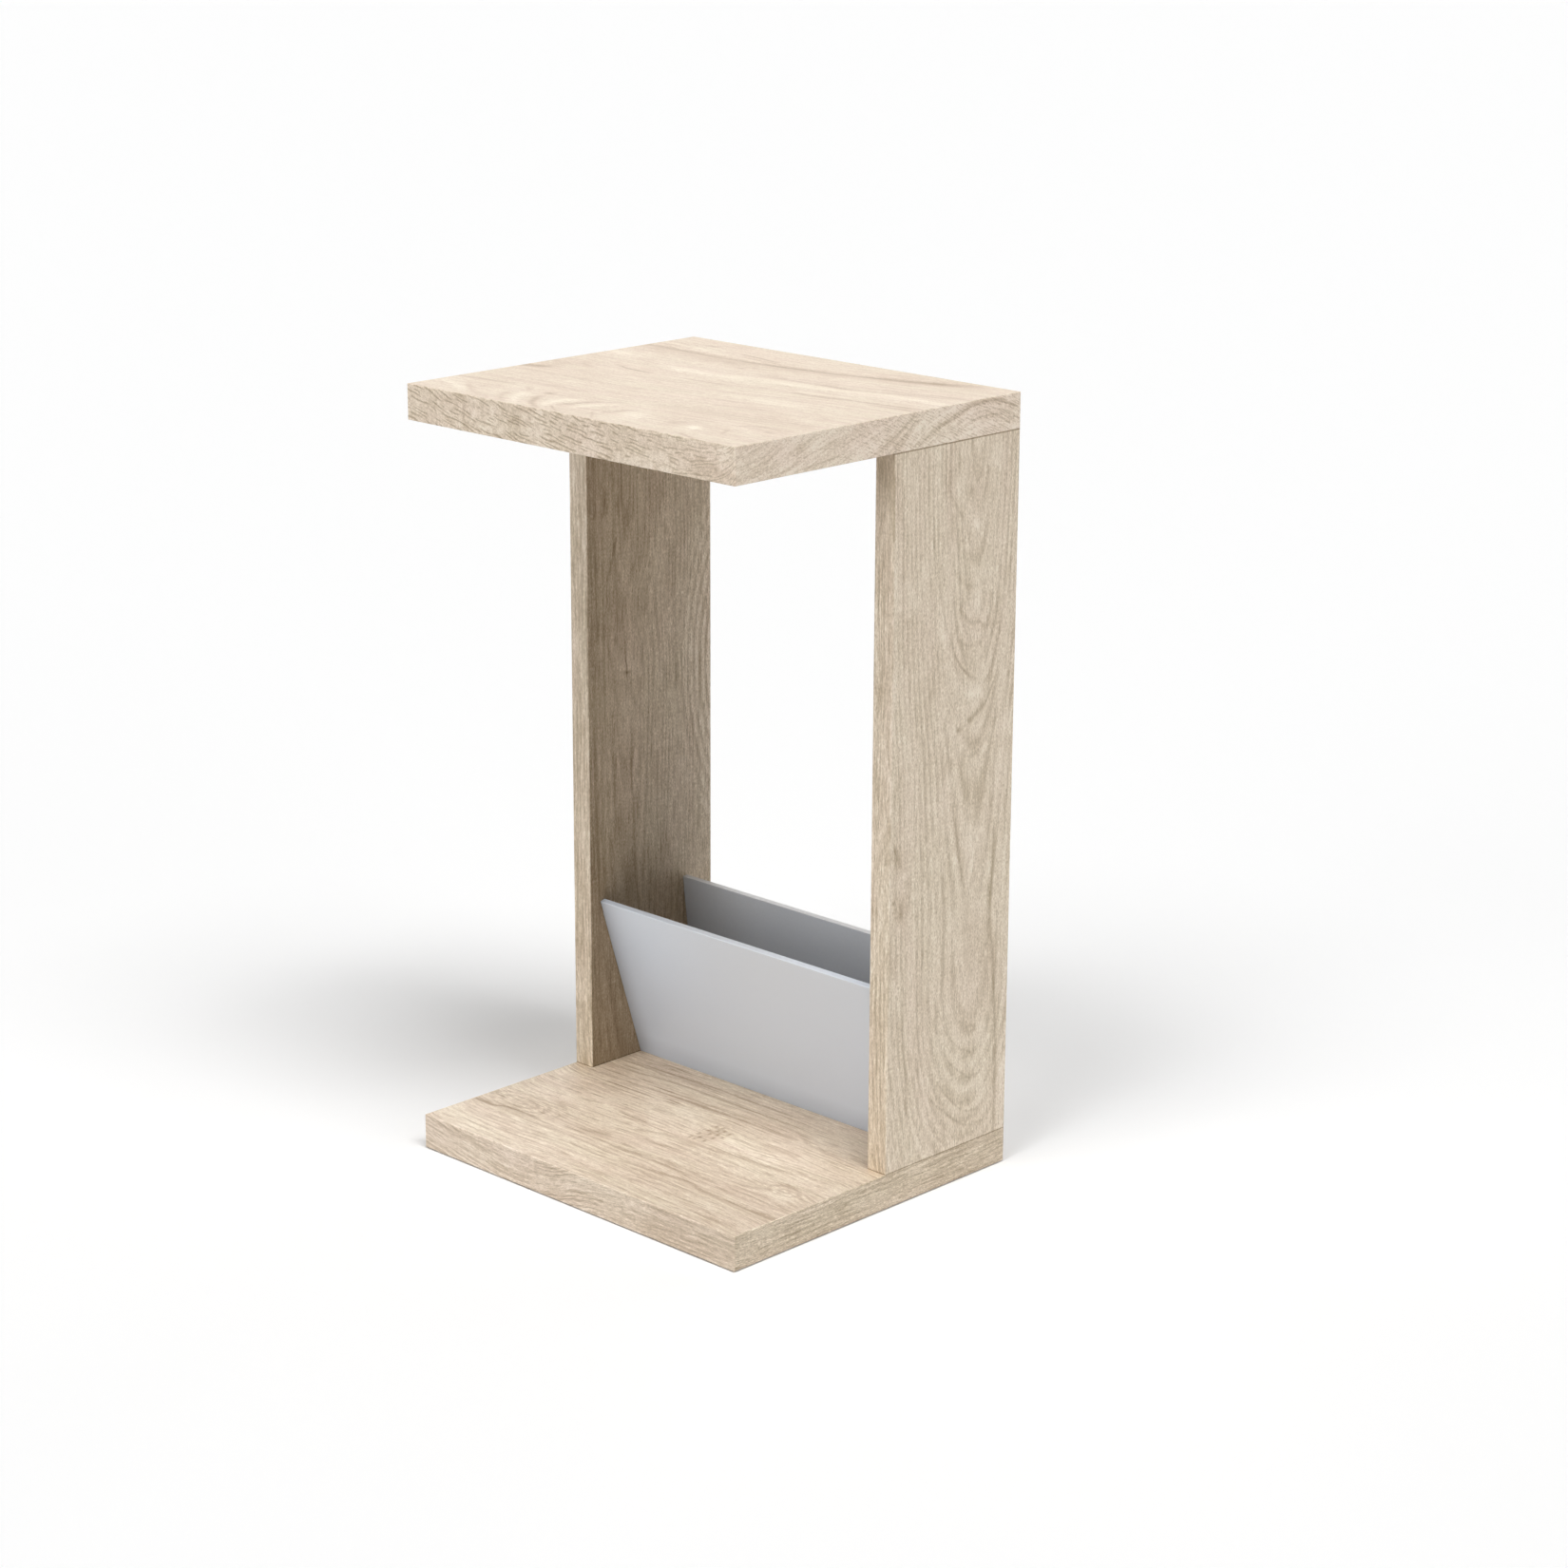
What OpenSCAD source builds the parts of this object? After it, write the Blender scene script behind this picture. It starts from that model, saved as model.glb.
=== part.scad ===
// Magazine side table: two thick boards on two side uprights, with a two-panel magazine rack.
// Millimetres, +Z up, origin on the floor under the middle of the boards.
// The open front faces -Y, and the uprights stand at the rear.

/* [Boards] */
// Width of the table, over both uprights
table_w = 350; // [300:1:480]
// Depth of the table, front to rear
table_d = 306; // [250:1:420]
// Thickness of the top board
top_t = 28; // [22:1:40]
// Thickness of the base board
base_t = 28; // [22:1:40]

/* [Uprights] */
// Height of an upright, between the two boards
upright_h = 566; // [350:1:700]
// Thickness of an upright
upright_t = 19; // [18:0.5:25]
// Depth of an upright, front to rear
upright_d = 140; // [132:1:200]

/* [Edge banding] */
// Thickness of the plastic edge band
band_t = 1; // [0.8:0.1:2]
// Radius along the band's outer edges
band_r = 0.5; // [0.2:0.1:0.7]

/* [Magazine rack] */
// Thickness of a rack panel
panel_t = 5; // [3:0.5:6]
// Radius along a rack panel's upper edge
panel_r = 0.6; // [0.3:0.1:1]
// Height of the rack's upper edge above the base board
rack_h = 143; // [100:1:160]
// Forward lean of the front panel, in degrees
front_lean_deg = 17.5; // [8:0.1:19]
// Forward lean of the rear panel, in degrees
rear_lean_deg = 7.3; // [0:0.1:9]
// From the uprights' front edge to the front panel's foot
front_foot = 56.5; // [52:0.1:60]
// From the uprights' rear edge to the back of the rear panel's foot
rear_foot = 10; // [8:0.5:20]
// Depth of the rack grooves in the uprights
groove_depth = 5; // [4:0.5:7]
// Play on each side of a panel in its groove
groove_play = 0.2; // [0.1:0.05:0.4]
// How far below the panel's upper edge its side tongue stops
tongue_drop = 12; // [8:1:20]

/* [Cam fittings] */
// Diameter of a cam housing
cam_d = 15; // [13:0.5:16]
// How far a cam housing reaches past its bolt's axis
cam_past_axis = 4; // [3.8:0.1:5]
// From the top board's underside to a cam's axis
cam_drop = 24; // [24:1:34]
// From an upright's front or rear edge to the nearer cam
cam_inset = 52; // [46:1:56]
// Diameter of a cam bolt's head
bolt_head_d = 6.6; // [6:0.1:7]
// Diameter of a cam bolt's neck
bolt_neck_d = 4.4; // [4:0.1:4.8]
// Diameter of a cam bolt's stem
bolt_stem_d = 7; // [6:0.1:7.4]
// Length of a cam bolt's threaded end
bolt_thread_len = 11; // [9:0.5:13]
// Diameter of a cover cap
cap_d = 17; // [16.5:0.5:20]
// Thickness of a cover cap
cap_t = 1.2; // [1:0.1:2]

/* [Dowels and screws] */
// Diameter of a wooden dowel
dowel_d = 8; // [6:0.5:8]
// Length of a wooden dowel
dowel_len = 35; // [30:1:40]
// How much of a dowel stands in the top or base board
dowel_in_board = 12; // [10:1:15]
// From an upright's front or rear edge to the nearer dowel in its upper end
top_dowel_inset = 20; // [14:1:24]
// From an upright's front edge to the first dowel in its lower end
foot_dowel_front = 15; // [12:1:16]
// From an upright's rear edge to the second dowel in its lower end
foot_dowel_rear = 57; // [55:1:59]
// From an upright's front or rear edge to the nearer base screw
screw_inset = 35; // [33:1:38]
// Overall length of a base screw
screw_len = 70; // [60:1:80]
// Diameter of a base screw's head
screw_head_d = 10; // [9:0.5:11]
// Diameter of a base screw's shank
screw_shank_d = 7; // [6:0.5:7]
// Core diameter of the screw and bolt threads
thread_core_d = 5; // [4.5:0.1:5.5]
// Width across the flats of the screw's hexagon socket
socket_af = 4; // [3:0.5:5]

/* [Floor glides] */
// Diameter of a floor glide
glide_d = 20; // [16:1:26]
// How far the glides stand out of the base board
glide_proud = 1; // [0.8:0.1:3]
// How deep a glide's disc is let into the base board
glide_let_in = 3; // [2:0.5:5]
// Diameter of a glide's stem
glide_stem_d = 8; // [6:0.5:10]
// Length of a glide's stem
glide_stem_len = 9; // [6:0.5:12]
// From the base board's edges to a glide's middle
glide_inset = 31; // [26:1:36]

/* [Hidden] */
$fn = 48;
// Radial play of pins, screws, bolts and glides in their bores
fit = 0.05;
// Play under a rack panel's foot, at a screw's head and at a cam's face
seat_play = 0.1;
// Play past the end of a dowel, screw, bolt or cam
end_play = 0.5;
// Play between a rack panel and the uprights' inner faces
side_play = 0.3;
// How far a cut runs past the surface that it opens
past = 1;

// Levels and planes
base_top = glide_proud + base_t;
top_under = base_top + upright_h;
rear_y = table_d / 2;
front_y = -rear_y;
side_x = table_w / 2;
inner_x = side_x - upright_t;
mid_x = side_x - upright_t / 2;
upright_y = rear_y - upright_d;

// Rack: each panel's front face at the base board, its length, and its tongues' width
front_foot_y = upright_y + front_foot;
rear_foot_y = rear_y - rear_foot - panel_t / cos(rear_lean_deg);
tongue_w = groove_depth - side_play;
panel_w = 2 * (inner_x - side_play);

// Places along an upright's depth
cam_ys = [upright_y + cam_inset, rear_y - cam_inset];
top_dowel_ys = [upright_y + top_dowel_inset, rear_y - top_dowel_inset];
foot_dowel_ys = [upright_y + foot_dowel_front, rear_y - foot_dowel_rear];
screw_ys = [upright_y + screw_inset, rear_y - screw_inset];

// Cam housing, from its face: the bolt's axis, the head's chamber and the neck's slot
cam_z = top_under - cam_drop;
bolt_axis = upright_t / 2;
cam_len = bolt_axis + cam_past_axis;
head_play = 0.4;
head_rise = 1.5;
chamber_d = 2 * (head_rise + head_play) + bolt_head_d;
chamber_w = bolt_head_d + 2 * head_play;
slot_w = bolt_neck_d + 2 * head_play;
slot_turn_deg = 190;
cross_len = 6.5;
cross_w = 1.4;
cross_deep = 2.6;

// Cam bolt, from the top board's underside: collar, stem, neck and head
collar_t = 1.2;
collar_over = 0.3;
stem_play = 0.5;
bolt_bore_d = bolt_stem_d + 2 * stem_play;
stem_end = cam_drop - cam_d / 2 - head_play;
head_at = cam_drop - head_rise;
head_flat = 0.4;

// Cover cap
cap_chamfer = 0.5;
cap_play = 0.15;

// Dowel
dowel_in_upright = dowel_len - dowel_in_board;
dowel_chamfer = 1;
flute_count = 10;
flute_w = 0.8;

// Base screw, from its face
screw_z = glide_proud + seat_play;
screw_rim = 1;
screw_cone = (screw_head_d - screw_shank_d) / 2;
shank_len = base_t - seat_play;
socket_deep = 3;
tip_len = 3;
tip_d = 2;

// Floor glide
glide_play = 0.1;
glide_chamfer = 0.6;
glide_xs = [-side_x + glide_inset, side_x - glide_inset];
glide_ys = [front_y + glide_inset, rear_y - glide_inset];

// Colours
oak = [0.85, 0.78, 0.68];
oak_edge = [0.80, 0.73, 0.63];
silver = [0.78, 0.78, 0.79];
zinc = [0.62, 0.63, 0.65];
steel = [0.72, 0.72, 0.74];
beech = [0.80, 0.64, 0.46];
nylon = [0.70, 0.66, 0.58];

// A w by h rectangle from the origin, with each corner rounded
module rounded_rect(w, h, r) {
    difference() {
        square([w, h]);
        for (x = [0, w], y = [0, h])
            translate([x, y])
                difference() {
                    square(2 * r, center = true);
                    translate([x == 0 ? r : -r, y == 0 ? r : -r]) circle(r);
                }
    }
}

// One of each pair of fittings at the given places along both uprights' mid-planes
module along_uprights(ys) {
    for (x = [-mid_x, mid_x], y = ys)
        translate([x, y, 0]) children();
}

// A child drawn from its face inwards, let into both uprights' inner faces
module in_inner_faces() {
    for (side = [0, 1], y = cam_ys)
        mirror([side, 0, 0])
            translate([inner_x, y, cam_z])
                rotate([90, 0, 90]) children();
}

// A whole board, banding included, with every outer edge rounded
module slab(t) {
    intersection() {
        translate([-side_x, rear_y, 0]) rotate([90, 0, 0])
            linear_extrude(table_d) rounded_rect(table_w, t, band_r);
        translate([-side_x, front_y, 0]) rotate([90, 0, 90])
            linear_extrude(table_w) rounded_rect(table_d, t, band_r);
        translate([-side_x, front_y, 0])
            linear_extrude(t) rounded_rect(table_w, table_d, band_r);
    }
}

// The board inside its banding
module slab_core(t) {
    translate([-side_x + band_t, front_y + band_t, 0])
        cube([table_w - 2 * band_t, table_d - 2 * band_t, t]);
}

// The band along a board's whole front edge
module slab_front_band(t) {
    intersection() {
        slab(t);
        translate([-side_x, front_y, 0]) cube([table_w, band_t, t]);
    }
}

// The band along a board's right edge, between the front and rear bands
module slab_right_band(t) {
    intersection() {
        slab(t);
        translate([side_x - band_t, front_y + band_t, 0])
            cube([band_t, table_d - 2 * band_t, t]);
    }
}

// The right upright's outline in plan, banding included
module upright_plan() {
    translate([inner_x, upright_y]) rounded_rect(upright_t, upright_d, band_r);
}

// The band along one edge of the right upright, from where it starts in depth
module upright_band(from_y) {
    translate([0, 0, base_top]) linear_extrude(upright_h) intersection() {
        upright_plan();
        translate([inner_x, from_y]) square([upright_t, band_t]);
    }
}

// Puts a child where a panel stands: its front face's foot is on the base board
module at_foot(foot_y, lean) {
    translate([0, foot_y, base_top + seat_play]) rotate([lean, 0, 0]) children();
}

// A groove for one panel's tongue, routed from the upright's lower end, with a round stop
module rack_groove(foot_y, lean) {
    len = rack_h / cos(lean) - tongue_drop;
    half = panel_t / 2 + groove_play;
    at_foot(foot_y, lean) {
        translate([inner_x - past, -groove_play, -panel_t])
            cube([groove_depth + past, 2 * half, len + panel_t + groove_play]);
        translate([inner_x - past, panel_t / 2, len + groove_play])
            rotate([0, 90, 0]) cylinder(r = half, h = groove_depth + past);
    }
}

// The right upright, drilled at both ends, bored for the cams and grooved for the rack
module upright_core() {
    difference() {
        translate([inner_x, upright_y + band_t, base_top])
            cube([upright_t, upright_d - 2 * band_t, upright_h]);
        translate([inner_x - past, 0, cam_z]) for (y = cam_ys)
            translate([0, y, 0]) rotate([0, 90, 0])
                cylinder(d = cam_d, h = past + cam_len + end_play);
        for (y = cam_ys)
            translate([mid_x, y, cam_z]) cylinder(d = bolt_bore_d, h = cam_drop + past);
        for (y = top_dowel_ys)
            translate([mid_x, y, top_under - dowel_in_upright - end_play])
                cylinder(d = dowel_d, h = dowel_in_upright + end_play + past);
        for (y = foot_dowel_ys)
            translate([mid_x, y, base_top - past])
                cylinder(d = dowel_d, h = dowel_in_upright + end_play + past);
        for (y = screw_ys)
            translate([mid_x, y, base_top - past])
                cylinder(d = thread_core_d, h = screw_z + screw_len + end_play - base_top + past);
        rack_groove(front_foot_y, front_lean_deg);
        rack_groove(rear_foot_y, rear_lean_deg);
    }
}

// A rack panel with a level-cut foot, a rounded upper edge, and side tongues that stop below it
module rack_panel(foot_y, lean) {
    len = rack_h / cos(lean);
    foot_cut = panel_t * tan(lean);
    intersection() {
        at_foot(foot_y, lean) intersection() {
            translate([0, panel_t, -foot_cut]) rotate([90, 0, 0]) linear_extrude(panel_t) {
                translate([-panel_w / 2, 0]) square([panel_w, len + foot_cut]);
                translate([-panel_w / 2 - side_play - tongue_w, 0])
                    square([panel_w + 2 * (side_play + tongue_w), len + foot_cut - tongue_drop]);
            }
            translate([-side_x, 0, -len]) rotate([90, 0, 90])
                linear_extrude(table_w) rounded_rect(panel_t, 2 * len, panel_r);
        }
        translate([-side_x, front_y, base_top + seat_play])
            cube([table_w, table_d, rack_h + panel_t]);
    }
}

// One cam housing from its face inwards, its slot's lock end upwards
module cam_housing() {
    translate([0, 0, seat_play]) difference() {
        cylinder(d = cam_d - 2 * fit, h = cam_len - seat_play);
        translate([0, 0, bolt_axis - seat_play]) {
            translate([0, 0, -chamber_w / 2]) cylinder(d = chamber_d, h = cam_len);
            translate([-slot_w / 2, 0, -slot_w / 2]) cube([slot_w, cam_d, slot_w]);
            rotate([0, 0, 90]) rotate_extrude(angle = slot_turn_deg)
                translate([chamber_d / 2 - past, -slot_w / 2])
                    square([(cam_d - chamber_d) / 2 + 2 * past, slot_w]);
            rotate([0, 0, 90 + slot_turn_deg]) rotate([0, 90, 0])
                cylinder(d = chamber_w, h = cam_d);
        }
        for (turn = [45, 135])
            rotate([0, 0, turn]) translate([-cross_len / 2, -cross_w / 2, -past])
                cube([cross_len, cross_w, cross_deep + past]);
    }
}

// One cam bolt: thread up into the top board, head down in the cam's chamber
module cam_bolt() {
    cylinder(d = thread_core_d - 2 * fit, h = bolt_thread_len);
    translate([0, 0, -collar_t]) cylinder(d = bolt_stem_d + 2 * collar_over, h = collar_t);
    translate([0, 0, -stem_end]) cylinder(d = bolt_stem_d, h = stem_end);
    translate([0, 0, -head_at]) {
        cylinder(d = bolt_neck_d, h = head_at - collar_t);
        intersection() {
            sphere(d = bolt_head_d);
            translate([0, 0, head_flat]) cube(bolt_head_d, center = true);
        }
    }
}

// One cover cap: a thin disc over the cam, with a cross that plugs into the cam's recess
module cam_cap() {
    translate([0, 0, -cap_t])
        cylinder(d1 = cap_d - 2 * cap_chamfer, d2 = cap_d, h = cap_chamfer);
    translate([0, 0, cap_chamfer - cap_t]) cylinder(d = cap_d, h = cap_t - cap_chamfer);
    for (turn = [45, 135])
        rotate([0, 0, turn])
            translate([cap_play - cross_len / 2, cap_play - cross_w / 2, -cap_t / 2])
                cube([cross_len - 2 * cap_play, cross_w - 2 * cap_play,
                      cross_deep - cap_play + cap_t / 2]);
}

// One dowel from its lower end, with glue flutes and chamfered ends
module dowel() {
    d = dowel_d - 2 * fit;
    intersection() {
        linear_extrude(dowel_len) difference() {
            circle(d = d);
            for (i = [0 : flute_count - 1])
                rotate(i * 360 / flute_count) translate([d / 2, 0])
                    rotate(45) square(flute_w, center = true);
        }
        union() {
            cylinder(d1 = d - 2 * dowel_chamfer, d2 = d, h = dowel_chamfer);
            translate([0, 0, dowel_chamfer])
                cylinder(d = d, h = dowel_len - 2 * dowel_chamfer);
            translate([0, 0, dowel_len - dowel_chamfer])
                cylinder(d1 = d, d2 = d - 2 * dowel_chamfer, h = dowel_chamfer);
        }
    }
}

// A base screw's head and shank, or the bore for them when grown
module screw_head_and_shank(grow) {
    cylinder(d = screw_head_d + 2 * grow, h = screw_rim + grow);
    translate([0, 0, screw_rim + grow])
        cylinder(d1 = screw_head_d + 2 * grow, d2 = screw_shank_d + 2 * grow, h = screw_cone);
    cylinder(d = screw_shank_d + 2 * grow, h = shank_len);
}

// One base screw: flush head with a hexagon socket, plain shank, core and tip
module base_screw() {
    difference() {
        screw_head_and_shank(-fit);
        translate([0, 0, -past])
            cylinder(d = socket_af / cos(30), h = socket_deep + past, $fn = 6);
    }
    translate([0, 0, shank_len - past])
        cylinder(d = thread_core_d - 2 * fit, h = screw_len - tip_len - shank_len + past);
    translate([0, 0, screw_len - tip_len])
        cylinder(d1 = thread_core_d - 2 * fit, d2 = tip_d, h = tip_len);
}

// One floor glide, or its socket when grown
module glide(grow) {
    deep = glide_proud + glide_let_in;
    if (grow > 0) {
        cylinder(d = glide_d + 2 * grow, h = deep);
    } else {
        cylinder(d1 = glide_d - 2 * glide_chamfer, d2 = glide_d, h = glide_chamfer);
        translate([0, 0, glide_chamfer]) cylinder(d = glide_d, h = deep - glide_chamfer);
    }
    cylinder(d = glide_stem_d + 2 * grow, h = deep + glide_stem_len + 2 * grow);
}

// The four places of the floor glides
module at_glides() {
    for (x = glide_xs, y = glide_ys)
        translate([x, y, 0]) children();
}

module top_board() {
    color(oak) difference() {
        translate([0, 0, top_under]) slab_core(top_t);
        translate([0, 0, top_under - past]) {
            along_uprights(cam_ys)
                cylinder(d = thread_core_d, h = bolt_thread_len + end_play + past);
            along_uprights(top_dowel_ys)
                cylinder(d = dowel_d, h = dowel_in_board + end_play + past);
        }
    }
}

module top_front_band() {
    color(oak_edge) translate([0, 0, top_under]) slab_front_band(top_t);
}

module top_rear_band() {
    mirror([0, 1, 0]) top_front_band();
}

module top_right_band() {
    color(oak_edge) translate([0, 0, top_under]) slab_right_band(top_t);
}

module top_left_band() {
    mirror([1, 0, 0]) top_right_band();
}

module base_board() {
    color(oak) difference() {
        translate([0, 0, glide_proud]) slab_core(base_t);
        translate([0, 0, screw_z]) along_uprights(screw_ys) {
            screw_head_and_shank(fit);
            cylinder(d = screw_shank_d + 2 * fit, h = base_t + past);
            translate([0, 0, -past]) cylinder(d = screw_head_d + 2 * fit, h = 2 * past);
        }
        translate([0, 0, base_top - dowel_in_board - end_play]) along_uprights(foot_dowel_ys)
            cylinder(d = dowel_d, h = dowel_in_board + end_play + past);
        at_glides() glide(glide_play);
    }
}

module base_front_band() {
    color(oak_edge) translate([0, 0, glide_proud]) slab_front_band(base_t);
}

module base_rear_band() {
    mirror([0, 1, 0]) base_front_band();
}

module base_right_band() {
    color(oak_edge) translate([0, 0, glide_proud]) slab_right_band(base_t);
}

module base_left_band() {
    mirror([1, 0, 0]) base_right_band();
}

module right_upright() {
    color(oak) upright_core();
}

module right_upright_front_band() {
    color(oak_edge) upright_band(upright_y);
}

module right_upright_rear_band() {
    color(oak_edge) upright_band(rear_y - band_t);
}

module left_upright() {
    mirror([1, 0, 0]) right_upright();
}

module left_upright_front_band() {
    mirror([1, 0, 0]) right_upright_front_band();
}

module left_upright_rear_band() {
    mirror([1, 0, 0]) right_upright_rear_band();
}

module rack_front_panel() {
    color(silver) rack_panel(front_foot_y, front_lean_deg);
}

module rack_rear_panel() {
    color(silver) rack_panel(rear_foot_y, rear_lean_deg);
}

module cam_housings() {
    color(zinc) in_inner_faces() cam_housing();
}

module cam_bolts() {
    color(steel) translate([0, 0, top_under]) along_uprights(cam_ys) cam_bolt();
}

module cam_caps() {
    color(oak_edge) in_inner_faces() cam_cap();
}

module top_dowels() {
    color(beech) translate([0, 0, top_under - dowel_in_upright])
        along_uprights(top_dowel_ys) dowel();
}

module base_dowels() {
    color(beech) translate([0, 0, base_top - dowel_in_board])
        along_uprights(foot_dowel_ys) dowel();
}

module base_screws() {
    color(steel) translate([0, 0, screw_z]) along_uprights(screw_ys) base_screw();
}

module floor_glides() {
    color(nylon) at_glides() glide(0);
}

top_board();
top_front_band();
top_rear_band();
top_left_band();
top_right_band();
base_board();
base_front_band();
base_rear_band();
base_left_band();
base_right_band();
left_upright();
left_upright_front_band();
left_upright_rear_band();
right_upright();
right_upright_front_band();
right_upright_rear_band();
rack_front_panel();
rack_rear_panel();
cam_housings();
cam_bolts();
cam_caps();
top_dowels();
base_dowels();
base_screws();
floor_glides();
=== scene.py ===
import math

import bpy
from mathutils import Matrix, Vector


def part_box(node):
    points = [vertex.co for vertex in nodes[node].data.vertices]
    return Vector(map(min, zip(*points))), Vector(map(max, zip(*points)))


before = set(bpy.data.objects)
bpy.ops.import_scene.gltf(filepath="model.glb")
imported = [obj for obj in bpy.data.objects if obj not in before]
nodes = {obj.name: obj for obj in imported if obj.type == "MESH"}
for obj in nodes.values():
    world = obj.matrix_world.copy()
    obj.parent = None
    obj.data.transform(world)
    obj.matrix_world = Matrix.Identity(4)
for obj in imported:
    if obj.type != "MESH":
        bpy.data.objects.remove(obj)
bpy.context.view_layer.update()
mm = 0.001  # one millimetre in metres, which the scene is built in
print("frame loaded:", len(nodes), "nodes")


# A field is one number at every point of a surface, carried by a socket of a material's tree

class Field:
    def __init__(self, tree, socket):
        self.tree = tree
        self.socket = socket

    def maths(self, operation, *others):
        node = self.tree.nodes.new("ShaderNodeMath")
        node.operation = operation
        for socket, value in zip(node.inputs, (self, *others)):
            plug(socket, value)
        return Field(self.tree, node.outputs[0])

    def __add__(self, other):
        return self.maths("ADD", other)

    def __sub__(self, other):
        return self.maths("SUBTRACT", other)

    def __mul__(self, other):
        return self.maths("MULTIPLY", other)

    def __truediv__(self, other):
        return self.maths("DIVIDE", other)

    def clipped(self):
        return self.maths("MAXIMUM", 0.0).maths("MINIMUM", 1.0)

    # 0 at low, 1 at high, and a soft step between them; low may be the larger
    def step(self, low, high):
        node = self.tree.nodes.new("ShaderNodeMapRange")
        node.interpolation_type = "SMOOTHSTEP"
        for socket, value in zip(node.inputs, (self, low, high)):
            plug(socket, value)
        return Field(self.tree, node.outputs["Result"])

    # 1 at the middle, falling off like a bell over reach on both sides
    def bell(self, middle, reach):
        away = (self - middle) / reach
        return (away * away * -1.0).maths("EXPONENT")

    # a smooth line through points of (this field, height)
    def curve(self, points):
        base, span = heightRange(points)
        return self.trace(points, points[0][0], points[-1][0]) * span + base

    # such a line with its heights brought to 0 to 1; low and high are the field's whole range
    def trace(self, points, low, high):
        base, span = heightRange(points)
        node = self.tree.nodes.new("ShaderNodeFloatCurve")
        line = node.mapping.curves[0]
        while len(line.points) < len(points):
            line.points.new(0.5, 0.5)
        for spot, (x, y) in zip(line.points, points):
            spot.location = ((x - low) / (high - low), (y - base) / span)
        node.mapping.update()
        plug(node.inputs["Value"], (self - low) / (high - low))
        return Field(self.tree, node.outputs["Value"])


# The lowest height of a line's points, and the rise above it, kept above nought to divide by
def heightRange(points):
    flattest = 1e-6
    heights = [y for x, y in points]
    return min(heights), max(max(heights) - min(heights), flattest)


# A field is wired into the socket, and a plain number is set on it
def plug(socket, value):
    if isinstance(value, Field):
        value.tree.links.new(value.socket, socket)
    else:
        socket.default_value = value


# A formula kept once as a node group, and used by name with its own values
formulas = {}


def useFormula(tree, formula, **values):
    name = formula.__name__
    if name not in formulas:
        group = bpy.data.node_groups.new(name, "ShaderNodeTree")
        for key in values:
            group.interface.new_socket(key, in_out="INPUT", socket_type="NodeSocketFloat")
        group.interface.new_socket("result", in_out="OUTPUT", socket_type="NodeSocketFloat")
        start = group.nodes.new("NodeGroupInput")
        end = group.nodes.new("NodeGroupOutput")
        plug(end.inputs[0], formula(**{key: Field(group, start.outputs[key]) for key in values}))
        formulas[name] = group
    node = tree.nodes.new("ShaderNodeGroup")
    node.node_tree = formulas[name]
    for key, value in values.items():
        plug(node.inputs[key], value)
    return Field(tree, node.outputs[0])


noise = {
    "seedApart": (7.31, 3.17),  # how far one seed's noise lies from the next, in blobs
    "middle": 0.5,
    "gain": 4.0,
}


# Soft noise about nought, mostly within 1 either way; its blobs are about one length by one width
def softNoise(x, y, length, width, seed, detail, roughness):
    place = x.tree.nodes.new("ShaderNodeCombineXYZ")
    apartX, apartY = noise["seedApart"]
    plug(place.inputs["X"], x / length + seed * apartX)
    plug(place.inputs["Y"], y / width + seed * apartY)
    node = x.tree.nodes.new("ShaderNodeTexNoise")
    node.noise_dimensions = "2D"
    node.inputs["Scale"].default_value = 1.0
    plug(node.inputs["Detail"], detail)
    plug(node.inputs["Roughness"], roughness)
    x.tree.links.new(place.outputs[0], node.inputs["Vector"])
    return (Field(x.tree, node.outputs["Fac"]) - noise["middle"]) * noise["gain"]


def swing(x, y, size, seed, detail=2.0, roughness=0.5):
    length, width = size
    return useFormula(x.tree, softNoise, x=x, y=y, length=length, width=width, seed=seed, detail=detail,
                      roughness=roughness)


# A colour given as it looks on screen, 0 to 255, as the shader's own light values
def shade(red, green, blue):
    def linear(value):
        part = value / 255
        return part / 12.92 if part <= 0.04045 else ((part + 0.055) / 1.055) ** 2.4
    return (linear(red), linear(green), linear(blue), 1.0)


# The first colour at a part of 0 and the second at 1
def mixColours(tree, part, first, second):
    node = tree.nodes.new("ShaderNodeMix")
    node.data_type = "RGBA"
    plug(node.inputs[0], part)
    for socket, value in ((node.inputs[6], first), (node.inputs[7], second)):
        if isinstance(value, bpy.types.NodeSocket):
            tree.links.new(value, socket)
        else:
            socket.default_value = value
    return node.outputs[2]


def newMaterial(name):
    material = bpy.data.materials.new(name)
    material.use_nodes = True
    tree = material.node_tree
    return material, tree, tree.nodes["Principled BSDF"]


# The three coordinates of the row frame, in millimetres
def millimetres(tree):
    place = tree.nodes.new("ShaderNodeTexCoord")
    split = tree.nodes.new("ShaderNodeSeparateXYZ")
    tree.links.new(place.outputs["Object"], split.inputs[0])
    return [Field(tree, split.outputs[axis]) / mm for axis in range(3)]


# How far the surface faces up, from -1 to 1
def facingUp(tree):
    place = tree.nodes.new("ShaderNodeNewGeometry")
    split = tree.nodes.new("ShaderNodeSeparateXYZ")
    tree.links.new(place.outputs["Normal"], split.inputs[0])
    return Field(tree, split.outputs["Z"])


# How far a place is shut in by its neighbours: nought on an open face, nearly 1 in a tight corner
# The colours below use it to paint shade into corners, and a cooler tint into shut-in places
def shutIn(tree, reach):
    node = tree.nodes.new("ShaderNodeAmbientOcclusion")
    node.samples = 4  # rays for each look round
    node.inputs["Distance"].default_value = reach * mm
    return Field(tree, node.outputs["AO"]) * -1.0 + 1.0


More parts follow.
